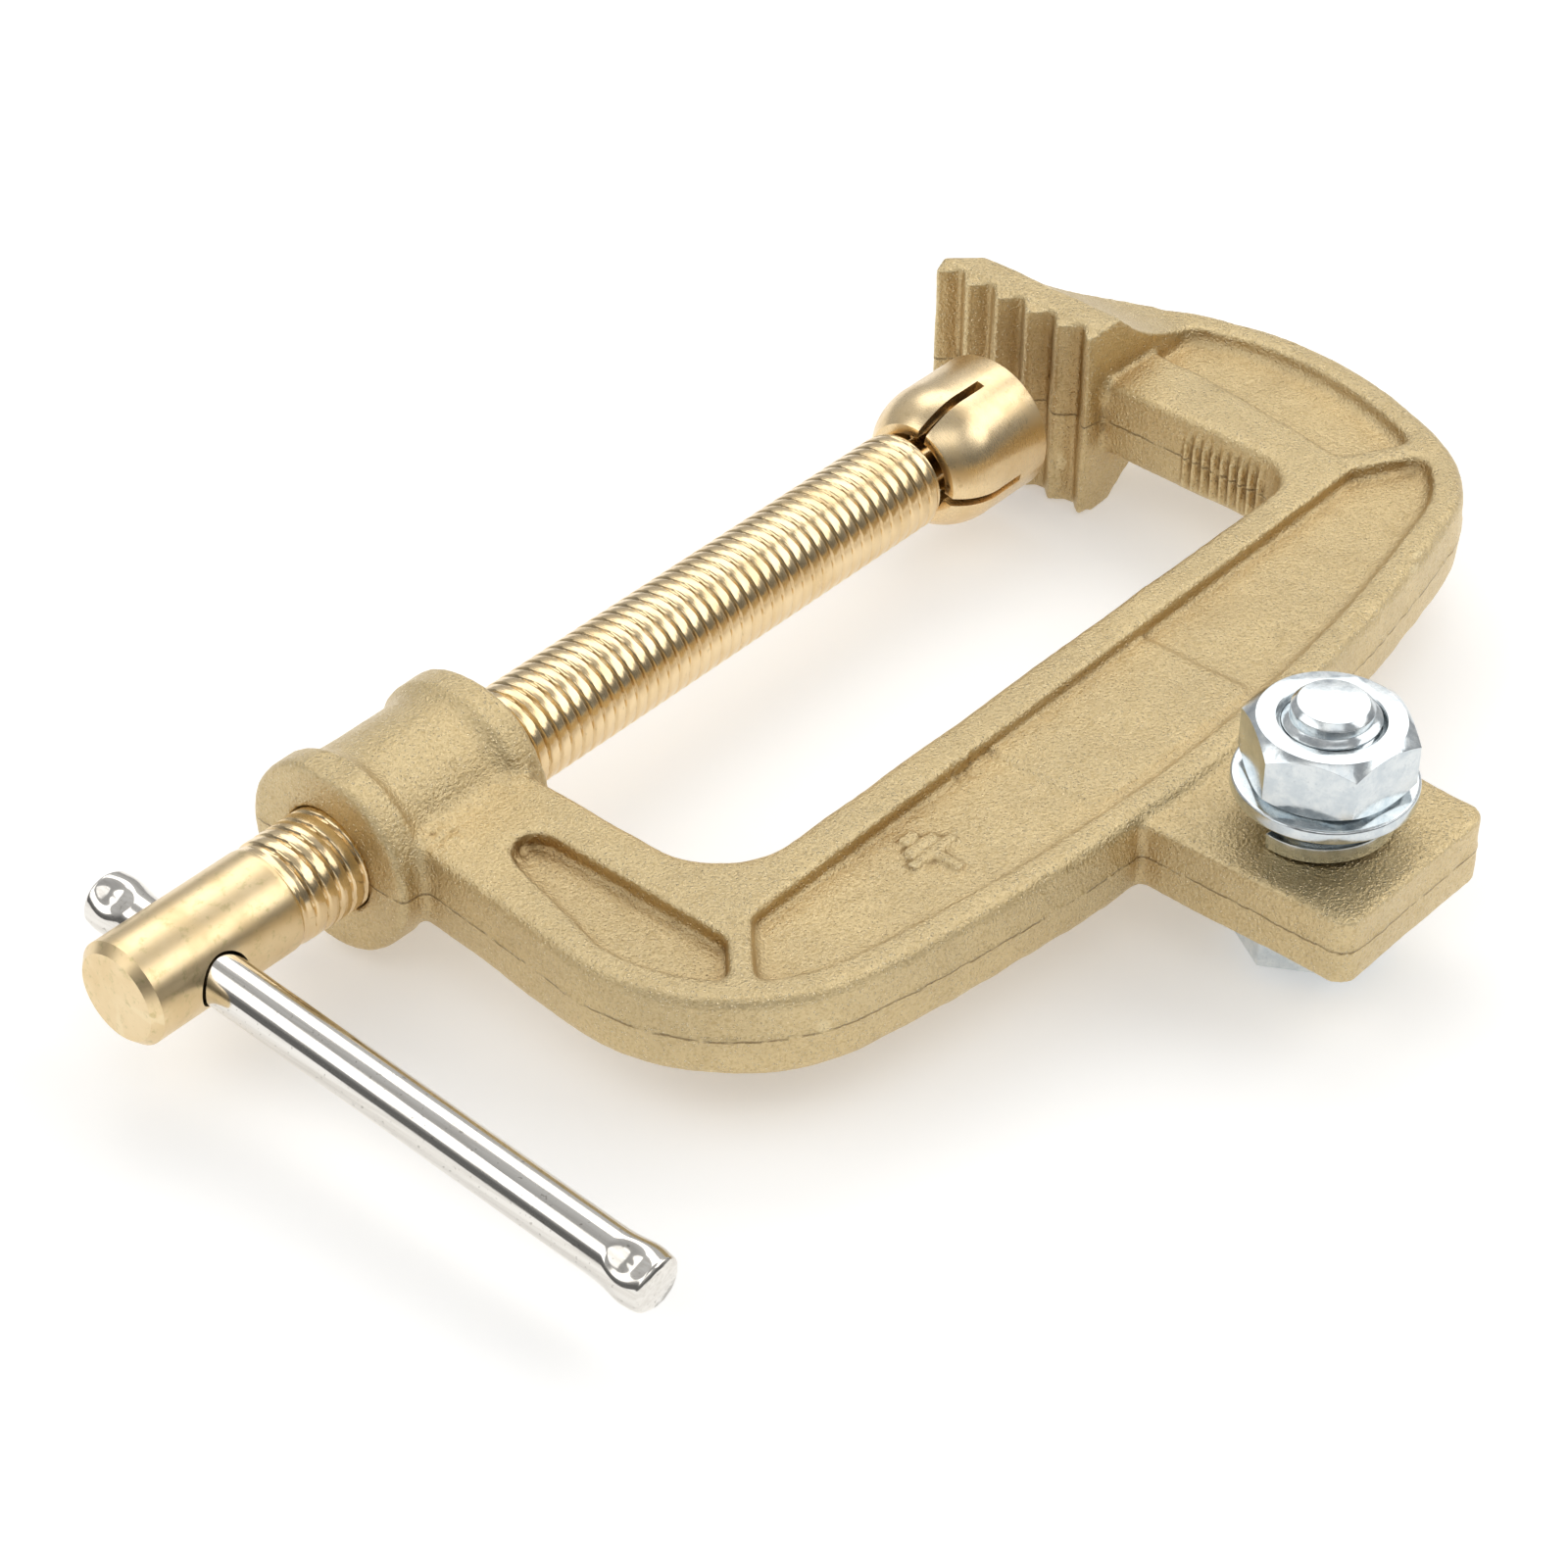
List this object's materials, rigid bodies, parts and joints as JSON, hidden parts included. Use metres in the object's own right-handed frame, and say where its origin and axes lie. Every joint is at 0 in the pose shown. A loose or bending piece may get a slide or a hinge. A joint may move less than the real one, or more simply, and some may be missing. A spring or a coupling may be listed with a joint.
{
  "type": "ground clamp",
  "caption": "G-shaped brass earth clamp: cast frame with serrated jaw and cable lug, threaded spindle with swivel pad and sliding tommy bar.",
  "frame": {"origin": "centre of the fixed jaw's tooth crests, on the spindle's axis and the casting's parting plane", "axes": "+X along the spindle towards the fixed jaw, +Y from the spine towards the spindle, +Z normal to the C's plane, on the side of the nut"},
  "size_m": [0.1987, 0.1195, 0.0373],
  "materials": {
    "cast_brass": "satin, sand-cast texture",
    "turned_brass": "polished, turned",
    "nickel_steel": "bright nickel plate",
    "zinc_steel": "bright zinc plate"
  },
  "bodies": {
    "frame": {"c_frame": "cast_brass", "terminal_bolt": "zinc_steel"},
    "pad": {"swivel_pad": "turned_brass"},
    "spindle": {"clamp_screw": "turned_brass"},
    "bar": {"tommy_bar": "nickel_steel"},
    "washers": {"spring_washer": "zinc_steel", "flat_washer": "zinc_steel"},
    "nut": {"hex_nut": "zinc_steel"}
  },
  "joints": [
    {"name": "screw_travel", "type": "slide", "parent": "frame", "child": "pad", "axis": [1, 0, 0], "range_m": [-0.0831, 0.00641]},
    {"name": "screw_turn", "type": "hinge", "parent": "pad", "child": "spindle", "pos_m": [-0.0158, 0, 0], "axis": [1, 0, 0], "range_deg": [-14940, 1152]},
    {"name": "bar_slide", "type": "slide", "parent": "spindle", "child": "bar", "axis": [0, 0.9977, 0.0671], "range_m": [0, 0.061]},
    {"name": "nut_travel", "type": "slide", "parent": "frame", "child": "washers", "axis": [0, 0, 1], "range_m": [0, 0.01025]},
    {"name": "nut_turn", "type": "hinge", "parent": "washers", "child": "nut", "pos_m": [-0.0534, -0.088, 0.015], "axis": [0, 0, 1], "range_deg": [0, 2100]}
  ],
  "couplings": [
    {"joint": "screw_travel", "follows": "screw_turn", "m_per_rad": 0.00031831},
    {"joint": "nut_travel", "follows": "nut_turn", "m_per_rad": 0.00027852}
  ]
}
